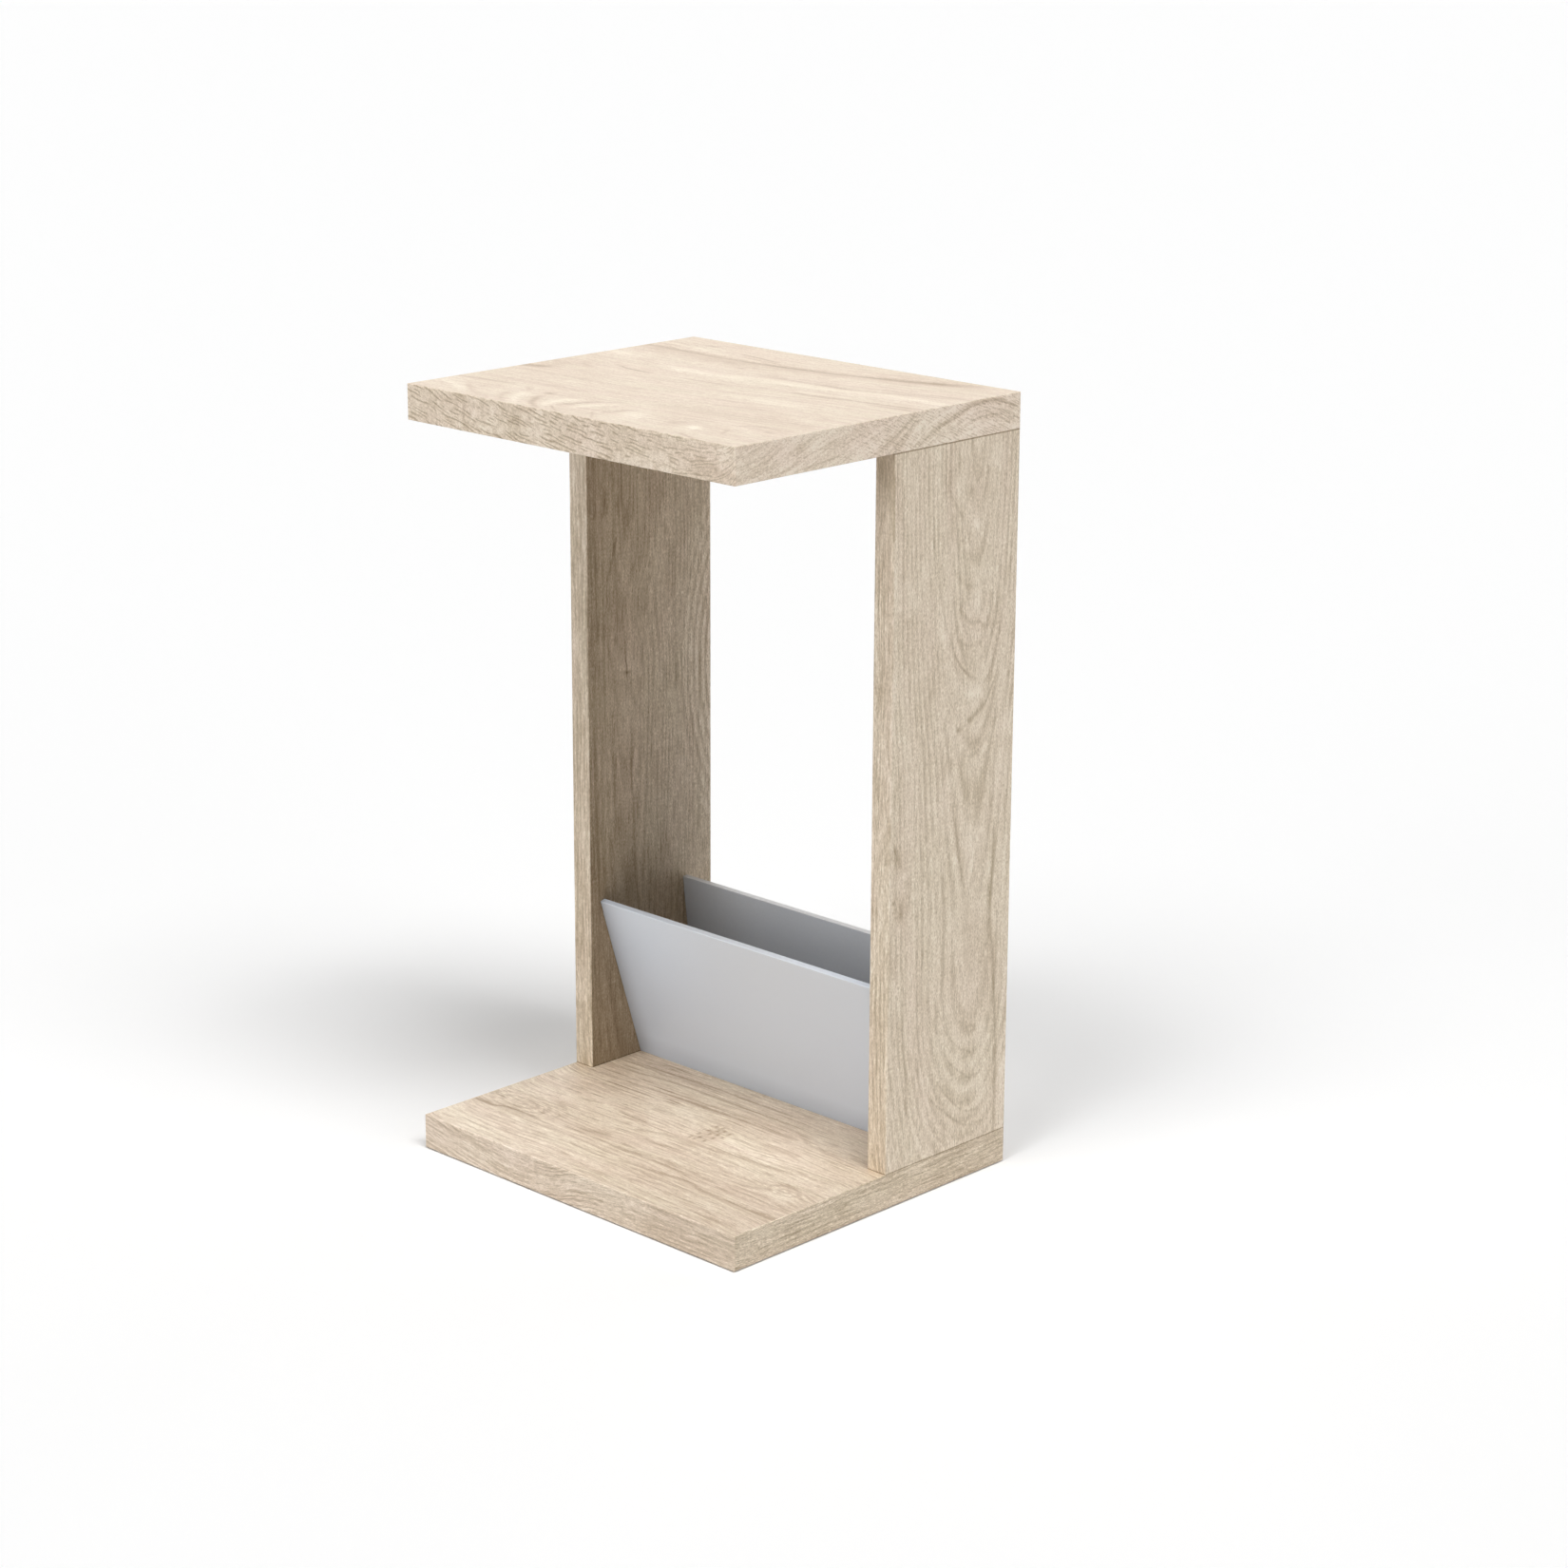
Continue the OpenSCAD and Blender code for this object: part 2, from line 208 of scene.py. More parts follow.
# Fine relief in the shader; depth is in millimetres
def bumpInto(tree, shader, height, depth):
    node = tree.nodes.new("ShaderNodeBump")
    node.inputs["Strength"].default_value = 1.0
    node.inputs["Distance"].default_value = depth * mm
    plug(node.inputs["Height"], height)
    tree.links.new(node.outputs["Normal"], shader.inputs["Normal"])


# A piece of the frame keeps its mesh and takes the material
def dress(name, material):
    mesh = nodes[name].data
    mesh.materials.clear()
    mesh.materials.append(material)


# Oak laminate: along runs with the grain and across over it, in millimetres from a corner of the board

oak = {
    "cream": shade(228, 212, 188),
    "rose": shade(226, 205, 184),
    "fade": (0.87, 1.0, 1.23),  # how fast red, green and blue go as the wood darkens
    "palest": -0.33,
    "roughness": 0.46,
    "darkRougher": 0.15,
    # sizes of the noises: length with the grain and width over it
    "grit": (2.2, 0.75),
    "fibre": (6.0, 0.95),
    "streak": (30.0, 1.5),
    "strand": (17.0, 2.3),
    "ribbon": (60.0, 6.0),
    "cloud": (45.0, 22.0),
    "pore": (8.0, 0.7),
    "ragged": (20.0, 0.9),
    "clearing": (70.0, 18.0),
    "poreField": (40.0, 8.0),
    "blush": (110.0, 20.0),
    "ringWander": (4, 500.0),  # in ring pitches over the rings, and in millimetres along them
    "ringStart": 0.8,
    "strandSway": 0.4,
    "poreStray": 0.4,
    # how far each noise has to rise before it shows, and where it shows in full
    "poreShows": (0.24, 0.96),
    "streakShows": (0.25, 1.1),
    "clearShows": (-0.6, 0.5),
    "poreFieldShows": (0.2, 0.9),
    "leastClear": 0.2,
    # the share of the face that rings and streaks cover, taken off so that they don't shift its tone
    "ringShare": 0.25,
    "streakShare": 0.2,
    # relief: the fibre and grit stand up, and the pores lie deep
    "fibreHeight": 0.3,
    "gritHeight": 0.2,
    "poreDeep": 0.6,
    "grooveDepth": 0.05,
    "jointLine": 1.2,
    "jointFull": 0.3,  # the share of the line's width that is dark in full
    "jointDark": 0.8,
}

# How the drawn lines, spots and swirls are frayed by the wood's own fibre, and how their ends fade
drawing = {
    "lineFray": 0.45,
    "spotFray": 0.35,
    "swirlFray": 0.15,
    "swirlShows": (0.2, 0.9),
    "swirlShare": 0.4,
    "swirlRim": (1.0, 0.7),
    "longestFade": 0.4,
}


# Lines and spots drawn one by one, in millimetres, on top of the figure
def stroke(dark, way, off, rough, trace, base, span, start, end, fade, width, strength):
    window = (way - start).step(0.0, fade) * (end - way).step(0.0, fade)
    aside = off - trace * span - base + rough * width * drawing["lineFray"]
    return dark + aside.bell(0.0, width) * window * strength


def spot(dark, along, across, rough, at, over, length, width, strength):
    fray = drawing["spotFray"]
    onward = along + rough * length * fray
    aside = across + rough * width * fray
    return dark + onward.bell(at, length) * aside.bell(over, width) * strength


def swirl(dark, along, across, rough, at, over, length, width, count, strength):
    side = (along - at) / length
    rise = (across - over) / width
    reach = (side * side + rise * rise).maths("SQRT")
    # from 0 to 1 and back again over each ring
    wave = (reach * count + rough * drawing["swirlFray"]).maths("PINGPONG", 0.5) * 2.0
    rings = wave.step(*drawing["swirlShows"]) - drawing["swirlShare"]
    return dark + rings * reach.step(*drawing["swirlRim"]) * strength


def drawn(dark, along, across, rough, look):
    tree = along.tree
    ink = look.get("ink", 1.0)
    alongReach, acrossReach = look["reach"]
    # lines run with the grain and arcs run over it: points of (way, off), width, and how dark
    ways = (("lines", along, across, alongReach), ("arcs", across, along, acrossReach))
    for name, way, off, (low, high) in ways:
        for points, width, strength in look.get(name, ()):
            base, span = heightRange(points)
            start, end = points[0][0], points[-1][0]
            fade = min((end - start) * drawing["longestFade"], look["fadeOut"])
            dark = useFormula(tree, stroke, dark=dark, way=way, off=off, rough=rough,
                              trace=way.trace(points, low, high), base=base, span=span,
                              start=start, end=end, fade=fade, width=width, strength=strength * ink)
    # marks are spots: along, across, length, width, and how dark
    for at, over, length, width, strength in look.get("marks", ()):
        dark = useFormula(tree, spot, dark=dark, along=along, across=across, rough=rough,
                          at=at, over=over, length=length, width=width, strength=strength * ink)
    # swirls are nested ovals: along, across, length, width, how many, and how dark
    for at, over, length, width, count, strength in look.get("swirls", ()):
        dark = useFormula(tree, swirl, dark=dark, along=along, across=across, rough=rough,
                          at=at, over=over, length=length, width=width, count=count,
                          strength=strength * ink)
    return dark


# The log's figure on a board's face: how dark it is, how rosy it is, and its height
def oakFigure(along, across, look):
    seed = look["seed"]
    straight = across + swing(along, across, look["swayOver"], seed, 1.0) * look["sway"]
    if "rise" in look:
        straight = straight + along.curve(look["rise"])
    # each fibre starts a little further on or back, so arcs that cross the grain come out ragged
    ragged = along + swing(along, straight, oak["ragged"], seed + 1, 2.0, 0.6) * look["ragged"]
    # a face cut past the heart of the log shows its rings as long arches about the heart's line
    ring = straight
    if look.get("heart"):
        offset = straight - look["heartLine"]
        depth = ragged.curve(look["heart"])
        ring = (offset * offset + depth * depth).maths("SQRT")
    for at, over, length, width, lift in look.get("eyes", ()):
        ring = ring + ragged.bell(at, length) * across.bell(over, width) * lift
    grit = swing(along, straight, oak["grit"], seed + 10, 1.0)
    fibre = swing(along, straight, oak["fibre"], seed + 11, 1.0)
    strand = swing(along, straight, oak["strand"], seed + 2, 1.0)
    ribbon = swing(along, ring, oak["ribbon"], seed + 5)
    cloud = swing(along, across, oak["cloud"], seed + 6)
    # each ring turns from pale to dark over one pitch, and then ends sharply
    pitch = look["ringPitch"]
    wanderPitches, wanderLength = oak["ringWander"]
    wander = swing(ring, along, (pitch * wanderPitches, wanderLength), seed + 3, 1.0) * look["wander"]
    turn = ((ring + strand * oak["strandSway"]) / pitch + wander + oak["ringStart"]).maths("FRACT")
    line = turn.step(*look["ringSoft"]) * (turn * -1.0 + 1.0).step(0.0, look["ringEdge"])
    clearing = swing(along, straight, oak["clearing"], seed + 4, 1.0).step(*oak["clearShows"])
    clearness = clearing * (1.0 - oak["leastClear"]) + oak["leastClear"]
    pore = swing(along, straight, oak["pore"], seed + 7, 1.0).step(*oak["poreShows"])
    streak = swing(along, straight, oak["streak"], seed + 12, 1.0).step(*oak["streakShows"])
    poreField = turn + swing(along, straight, oak["poreField"], seed + 8, 1.0) * oak["poreStray"]
    pores = pore * poreField.step(*oak["poreFieldShows"])
    dark = (line * clearness - oak["ringShare"]) * look["ringDark"]
    dark = dark + pores * look["poreDark"] + look["tone"]
    dark = dark + (streak - oak["streakShare"]) * look["streakDark"]
    for layer, share in zip((grit, fibre, strand, ribbon, cloud), look["grain"]):
        dark = dark + layer * share
    dark = drawn(dark, along, across, fibre, look)
    blush = swing(along, ring, oak["blush"], seed + 9) * look["blush"] + dark * look["rosyDark"]
    rosy = (blush + look["rose"]).clipped()
    height = fibre * oak["fibreHeight"] + grit * oak["gritHeight"] - pore * oak["poreDeep"]
    return dark, rosy, height


# Darkness deepens the colour: each step of it takes the same share of the light that is left,
# and a larger share of the blue than of the red
def oakColour(tree, dark, rosy):
    dark = dark.maths("MAXIMUM", oak["palest"])
    colour = tree.nodes.new("ShaderNodeCombineColor")
    for channel in range(3):
        cream, rose = oak["cream"][channel], oak["rose"][channel]
        ground = rosy * (rose - cream) + cream
        left = (dark * -oak["fade"][channel]).maths("EXPONENT")
        plug(colour.inputs[channel], (left * ground).clipped())
    return colour.outputs[0]


def finishOak(tree, shader, dark, rosy, height, depth):
    tree.links.new(oakColour(tree, dark, rosy), shader.inputs["Base Color"])
    plug(shader.inputs["Roughness"], dark * oak["darkRougher"] + oak["roughness"])
    bumpInto(tree, shader, height, depth)


def oakBoard(name, look, alongAxis, acrossAxis, depthAxis):
    material, tree, shader = newMaterial(name + "_oak")
    low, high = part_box(name)
    place = millimetres(tree)
    along = place[alongAxis] * look["alongSign"] + look["alongStart"]
    across = place[acrossAxis] * look["acrossSign"] + look["acrossStart"]
    # the face that the look isn't for takes the same log turned end for end
    middle = (low[depthAxis] + high[depthAxis]) / 2 / mm
    away = place[depthAxis].step(middle + look["outward"], middle - look["outward"])
    along = along + away * (along * -2.0 + look["length"])
    across = across + away * look["turnOver"]
    dark, rosy, height = oakFigure(along, across, look)
    if alongAxis == 2:
        dark = dark + jointLine(place[2], low[2] / mm, high[2] / mm)
    # painted shade: the face between the uprights is darkened a little into its corners
    inner = away if look["innerFace"] == "away" else away * -1.0 + 1.0
    cornerReach, paintedCornerShade = look["corner"]
    dark = dark + shutIn(tree, cornerReach) * inner * paintedCornerShade
    finishOak(tree, shader, dark, rosy, height, oak["grooveDepth"])
    dress(name, material)


# The laminate's cut ends show as a thin dark line where an upright meets another board
def jointLine(height, low, high):
    line = oak["jointLine"]
    full = line * oak["jointFull"]
    foot = height.step(low + line, low + full)
    head = height.step(high - line, high - full)
    return (foot + head) * oak["jointDark"]


# One look for each board. What each value is:
# seed and ink: the noise's own start, and how strong the drawn lines are
# corner: reach in millimetres and strength of the painted shade in corners
# fadeOut: how many millimetres the ends of a drawn line fade over
# length to turnOver: how the face lies in the frame, and how its other face is turned
# innerFace: which of the two lies between the uprights and takes the painted corner shade, the main one or
# the one away from it
# sway, rise and eyes: how the grain waves, climbs and bends round knots
# heartLine and heart: where the log's heart runs, and how deep it lies along the board
# ring, streak, pore and grain: their size and how dark they are; tone is the whole face's
# rose, blush and rosyDark: how rosy it is overall, in clouds, and where it is dark
topFace = {
    "seed": 3.0,
    "ink": 2.1,
    "fadeOut": 40.0,
    "corner": (260.0, 0.9),
    "length": 350.0,
    "reach": ((-40, 380), (-20, 330)),
    "alongSign": 1.0, "alongStart": 175.0,
    "acrossSign": -1.0, "acrossStart": 153.0,
    "outward": 1.0, "turnOver": 61.0, "innerFace": "away",
    "swayOver": (150.0, 60.0), "sway": 1.6,
    "rise": [(0, 0), (60, 0), (120, 1), (175, 6), (225, 15), (280, 27), (350, 36)],
    "eyes": [(20.0, 118.0, 50.0, 40.0, 10.0), (185.0, 300.0, 70.0, 34.0, 34.0)],
    "ragged": 2.5,
    "ringPitch": 8.5, "wander": 0.7, "ringSoft": (0.1, 0.9), "ringEdge": 0.4,
    "ringDark": 0.08, "streakDark": 0.07, "grain": (0.09, 0.08, 0.05, 0.045, 0.035),
    "poreDark": 0.05, "tone": 0.035, "rose": 0.45, "blush": 0.55, "rosyDark": 6.0,
    "lines": [
        ([(-30, 53), (35, 54), (85, 56), (140, 54), (170, 50), (200, 45), (240, 36), (275, 26),
          (320, 9)], 2.4, 0.085),
        ([(-30, 54), (35, 56), (85, 57), (140, 55), (170, 51), (200, 46), (240, 37), (275, 27),
          (330, 5)], 8.0, 0.075),
        ([(120, 53), (150, 52), (170, 49), (200, 44)], 1.4, 0.10),
        ([(215, 42), (240, 35), (270, 27)], 2.0, 0.08),
        ([(230, 38), (270, 26), (300, 16), (330, 2)], 6.0, 0.09),
        ([(76, 30), (90, 33), (115, 37), (145, 44)], 1.4, 0.16),
        ([(92, 41), (115, 44), (152, 45)], 1.3, 0.14),
        ([(150, 93), (205, 89), (240, 88), (262, 84), (290, 75), (330, 62), (360, 50)], 3.0, 0.07),
        ([(215, 87), (240, 87), (268, 83)], 2.5, 0.08),
        ([(235, 77), (275, 70), (310, 62), (360, 48)], 2.4, 0.07),
        ([(212, 128), (250, 125), (285, 119), (320, 114), (370, 106)], 2.2, 0.13),
        ([(290, 124), (325, 120), (370, 115)], 1.8, 0.12),
        ([(190, 112), (228, 109)], 1.2, 0.06),
        ([(40, 131), (60, 138), (80, 143), (112, 144)], 1.4, 0.17),
        ([(100, 143), (150, 141), (205, 138)], 1.5, 0.06),
        ([(115, 150), (172, 151)], 1.6, 0.05),
        ([(-15, 190), (12, 184), (30, 174)], 4.5, 0.19),
        ([(20, 147), (50, 158)], 2.5, 0.07),
        ([(-20, 258), (30, 252), (66, 249)], 2.4, 0.09),
        ([(-20, 240), (60, 236), (125, 232)], 5.0, 0.04),
        ([(-20, 266), (30, 283), (55, 296), (75, 312)], 5.0, -0.06),
        ([(20, 264), (48, 284), (75, 300)], 3.0, 0.07),
        ([(70, 248), (92, 262)], 3.0, 0.06),
        ([(280, 266), (292, 252), (302, 245), (318, 240), (345, 242)], 2.0, 0.10),
        ([(300, 263), (312, 280)], 3.0, 0.09),
        ([(276, 294), (300, 302), (320, 310)], 2.0, 0.09),
        ([(20, 38), (60, 41), (98, 51)], 3.5, -0.06),
        ([(60, 112), (120, 116), (170, 107), (230, 100), (290, 88), (370, 80)], 8.0, -0.06),
        ([(175, 171), (230, 167), (300, 165)], 6.0, -0.05),
        ([(225, 118), (290, 111)], 3.5, -0.05),
        ([(-20, 70), (100, 72), (170, 66)], 7.0, 0.03),
        ([(180, 235), (250, 225), (370, 215)], 10.0, 0.04),
    ],
    "arcs": [
        ([(260, 110), (270, 111), (280, 116), (290, 123), (300, 137), (312, 160)], 3.4, 0.14),
        ([(241, 184), (250, 168), (258, 157), (270, 151), (280, 148), (290, 143)], 3.0, 0.12),
        ([(286, 141), (296, 152), (306, 172)], 1.5, 0.12),
        ([(254, 203), (265, 197), (275, 194), (288, 188)], 4.0, 0.09),
        ([(248, 153), (262, 139), (275, 134), (288, 137), (304, 152)], 5.0, -0.08),
        ([(246, 184), (262, 170), (275, 163), (294, 157)], 5.0, -0.09),
        ([(255, 90), (262, 91), (275, 94), (290, 104), (310, 128)], 5.0, -0.07),
        ([(280, 178), (292, 190), (308, 205)], 2.0, 0.08),
        ([(262, 76), (280, 82), (300, 100), (310, 112)], 3.0, 0.06),
    ],
    "marks": [
        (107, 258, 4, 3, 0.18), (132, 78, 5, 2, 0.1), (256, 272, 8, 10, 0.08), (329, 251, 5, 2, 0.12),
        (278, 276, 6, 6, -0.12), (215, 273, 12, 10, -0.08), (10, 96, 32, 12, -0.05),
        (14, 168, 30, 22, 0.06), (300, 15, 50, 22, 0.04), (108, 67, 9, 2.5, 0.06),
        (45, 23, 7, 3, 0.07), (285, 20, 8, 5, 0.07),
    ],
}
baseFace = dict(
    topFace, seed=11.0, ink=1.8, fadeOut=14.0, corner=(110.0, 0.3), swayOver=(90.0, 30.0), sway=1.6,
    rise=[(0, 6), (80, 0), (160, 2), (240, 0), (350, -6)],
    eyes=[(38.0, 238.0, 34.0, 12.0, 16.0), (315.0, 218.0, 24.0, 14.0, 14.0),
          (240.0, 176.0, 40.0, 12.0, -8.0)],
    ringPitch=5.5, ringDark=0.26, streakDark=0.30, grain=(0.10, 0.10, 0.09, 0.07, 0.05), poreDark=0.12,
    tone=0.105, rose=0.40, blush=0.4, rosyDark=1.8, innerFace="main",
    lines=[
        ([(35, 101), (50, 98), (75, 93), (115, 92)], 1.3, 0.12),
        ([(60, 105), (100, 102), (130, 101), (175, 102), (225, 101)], 1.5, 0.14),
        ([(15, 124), (50, 122), (75, 118), (110, 116), (160, 116), (245, 116)], 1.4, 0.14),
        ([(120, 116), (235, 116)], 1.0, 0.10),
        ([(10, 143.5), (50, 142), (100, 139), (140, 138), (185, 137)], 1.3, 0.20),
        ([(110, 138), (160, 136), (200, 135), (255, 136)], 2.8, 0.15),
        ([(28, 131), (80, 129), (130, 128)], 1.2, 0.09),
        ([(0, 112), (40, 108), (75, 104), (130, 106)], 1.8, 0.12),
        ([(0, 133), (50, 134), (90, 133), (150, 131), (240, 128)], 1.6, 0.13),
        ([(40, 154), (80, 151.5), (108, 151)], 0.9, 0.36),
        ([(40, 160), (66, 158), (92, 157)], 0.8, 0.26),
        ([(110, 150), (137, 149)], 0.8, 0.38),
        ([(108, 146), (137, 145)], 0.8, 0.34),
        ([(55, 180), (84, 180)], 0.7, 0.28),
        ([(33, 186), (62, 186)], 0.7, 0.30),
        ([(103, 192.5), (150, 194)], 0.8, 0.42),
        ([(94, 179), (104, 178)], 0.7, 0.28),
        ([(200, 179), (240, 175), (280, 182)], 12.0, -0.05),
        ([(205, 171), (240, 168), (262, 172), (290, 177), (335, 175)], 1.5, 0.10),
        ([(135, 213), (155, 205), (175, 199), (210, 198), (240, 194), (265, 192), (305, 188)], 2.0, 0.14),
        ([(150, 217), (165, 220), (180, 219), (200, 215), (245, 214)], 1.6, 0.13),
        ([(140, 211), (150, 209), (160, 210)], 5.0, 0.08),
        ([(-20, 254), (20, 254), (30, 250), (50, 248), (76, 249)], 1.6, 0.28),
        ([(3, 231), (12, 235), (24, 236)], 1.3, 0.14),
        ([(45, 208), (62, 214), (75, 222), (92, 232)], 3.0, 0.10),
        ([(105, 242), (125, 236), (145, 231)], 3.2, 0.17),
        ([(92, 244), (128, 244)], 1.0, 0.14),
        ([(96, 212), (122, 221)], 2.0, -0.10),
        ([(150, 248), (180, 243), (215, 239), (245, 242), (275, 243)], 2.2, 0.13),
        ([(160, 249), (200, 245), (250, 247), (300, 249), (345, 247)], 1.5, 0.14),
        ([(175, 262), (230, 258), (245, 256), (265, 260), (300, 262), (370, 260)], 2.0, 0.18),
        ([(205, 277), (245, 276)], 1.0, 0.20),
        ([(210, 281), (250, 282), (295, 283)], 1.0, 0.14),
        ([(55, 282), (100, 284), (155, 281)], 1.0, 0.13),
        ([(225, 293), (270, 294), (340, 292)], 1.2, 0.12),
        ([(290, 214), (305, 224), (322, 227)], 2.0, 0.10),
        ([(296, 209), (315, 207), (330, 211)], 2.0, 0.08),
        ([(235, 121), (255, 131), (270, 137), (305, 139)], 2.0, 0.09),
    ],
    arcs=[
        ([(225, 54), (234, 62), (240, 66), (248, 63)], 1.5, 0.13),
        ([(221, 60), (229, 74), (237, 80), (246, 78)], 2.0, 0.09),
        ([(224, -4), (232, -1), (242, 4)], 2.0, 0.08),
    ],
    marks=[
        (186, 160, 1.4, 2, 0.3), (192, 159, 1.4, 2, 0.3), (193, 166, 1.4, 2, 0.3), (205, 165, 1.4, 2.4, 0.3),
        (199, 172, 1.4, 2, 0.34), (193, 175, 1.4, 2, 0.34), (201, 179, 1.4, 2.4, 0.3),
        (192, 185, 1.4, 2, 0.34), (200, 188, 1.4, 2, 0.3), (186, 190, 1.4, 2, 0.3),
        (191, 190, 1.4, 2, 0.34), (196, 176, 12, 16, 0.10), (187, 170, 1.4, 2, 0.3),
        (186, 180, 1.4, 2, 0.3), (206, 174, 1.4, 2, 0.26), (198, 164, 1.4, 2, 0.3),
        (60, 233, 70, 16, 0.06), (235, 263, 25, 8, 0.06), (120, 112, 120, 18, 0.05),
        (290, 176, 70, 16, -0.05), (50, 288, 70, 16, -0.05), (290, 236, 50, 20, 0.03),
    ],
    swirls=[(34, 234, 44, 20, 3.5, 0.13), (316, 217, 24, 13, 2.5, 0.12)],
)
rightFace = {
    "seed": 21.0,
    "ink": 1.5,
    "fadeOut": 14.0,
    "corner": (260.0, 0.9),
    "length": 566.0,
    "reach": ((-10, 600), (-10, 150)),
    "alongSign": -1.0, "alongStart": 595.0,
    "acrossSign": 1.0, "acrossStart": -13.0,
    "outward": 1.0, "turnOver": 23.0, "innerFace": "away",
    "swayOver": (170.0, 40.0), "sway": 1.0,
    "heartLine": 94.0,
    "heart": [(0, 5), (34, 9.6), (61, 14.4), (95, 19.2), (139, 24), (159, 28.8), (188, 33.6), (214, 38.4),
              (240, 43.2), (300, 48), (359, 52), (455, 55), (500, 64), (566, 84)],
    "ragged": 4.0,
    "ringPitch": 4.8, "wander": 0.15, "ringSoft": (0.1, 0.85), "ringEdge": 0.25,
    "ringDark": 0.29, "streakDark": 0.16, "grain": (0.20, 0.14, 0.075, 0.05, 0.055),
    "poreDark": 0.12, "tone": -0.02, "rose": 0.2, "blush": 0.25, "rosyDark": 0.0,
    "lines": [
        ([(60, 42), (90, 48), (115, 53), (140, 60), (160, 68)], 1.2, 0.12),
        ([(290, 73), (320, 78), (345, 84), (362, 89)], 1.2, 0.16),
        ([(315, 102), (345, 95), (362, 90)], 1.2, 0.10),
        ([(300, 120), (340, 119), (380, 117), (405, 120), (440, 123), (480, 126), (520, 127),
          (590, 124)], 1.8, 0.22),
        ([(395, 16), (420, 17), (450, 17), (480, 20), (535, 25)], 1.8, 0.13),
        ([(298, 4), (312, 9), (326, 14)], 3.0, 0.24),
        ([(344, 9), (354, 14), (366, 8)], 2.6, 0.22),
        ([(325, 19), (345, 22), (362, 21)], 1.6, 0.08),
        ([(295, 93), (330, 93), (356, 90)], 3.5, -0.08),
        ([(470, 34), (500, 36)], 1.2, 0.18),
        ([(455, 54), (468, 58)], 1.2, 0.16),
        ([(380, 55), (420, 61), (450, 60)], 1.3, 0.10),
    ],
    "arcs": [
        ([(56, 25), (63, 40), (70, 51), (80, 63)], 2.0, 0.13),
        ([(101, 70), (106, 58), (113, 45), (121, 26)], 2.0, 0.10),
        ([(78, 86), (86, 91), (98, 88)], 4.0, 0.12),
        ([(60, 85), (68, 100), (80, 110), (90, 114), (99, 110)], 2.4, 0.10),
        ([(70, 124), (82, 137), (90, 142), (97, 143), (106, 147), (113, 140), (121, 124)], 2.0, 0.14),
        ([(70, 147), (80, 157), (90, 160), (98, 160), (106, 156), (114, 146)], 1.6, 0.11),
        ([(62, 146), (66, 155), (74, 170), (83, 180), (92, 186), (98, 188)], 1.5, 0.26),
        ([(100, 193), (106, 190), (111, 183), (116, 170), (123, 148)], 1.5, 0.22),
        ([(62, 166), (75, 187), (88, 198), (98, 199), (108, 193)], 3.4, -0.10),
        ([(58, 180), (68, 205), (76, 216)], 2.4, 0.10),
        ([(80, 222), (88, 219), (98, 213), (105, 209), (111, 200), (117, 190), (124, 170)], 2.2, 0.24),
        ([(76, 230), (88, 231), (100, 224), (110, 212)], 4.0, -0.09),
        ([(80, 246), (92, 247), (103, 240), (115, 230)], 2.0, 0.12),
        ([(92, 257), (104, 246), (118, 232)], 2.5, -0.07),
        ([(53, 436), (62, 455), (70, 470), (80, 480), (90, 487), (100, 490), (110, 484)], 1.3, 0.13),
        ([(58, 464), (70, 490), (80, 500), (90, 507), (100, 512), (110, 508), (120, 492)], 1.3, 0.13),
        ([(48, 486), (60, 508), (70, 520), (80, 530), (90, 537), (100, 540), (110, 538),
          (119, 528)], 1.3, 0.14),
        ([(42, 506), (55, 522), (70, 535), (80, 543), (92, 550), (104, 552), (118, 546)], 1.3, 0.13),
        ([(56, 540), (75, 556), (96, 563)], 1.3, 0.10),
        ([(76, 453), (85, 462), (95, 468), (106, 470)], 1.2, 0.10),
        ([(82, 380), (90, 386), (98, 378)], 5.0, 0.08),
    ],
    "marks": [
        (18, 71, 8, 2.5, 0.2), (25, 60, 10, 4, 0.1), (40, 86, 5, 5, 0.15), (66, 93, 7, 5, -0.12),
        (126, 93, 10, 5, -0.12), (224, 76, 3, 2.4, 0.35), (218, 88, 3, 3, 0.2), (346, 5, 1.5, 1.2, 0.4),
        (355, 10, 9, 7, 0.12), (315, 8, 14, 7, 0.08), (430, 113, 32, 8, 0.10), (510, 135, 60, 5, -0.08),
    ],
}
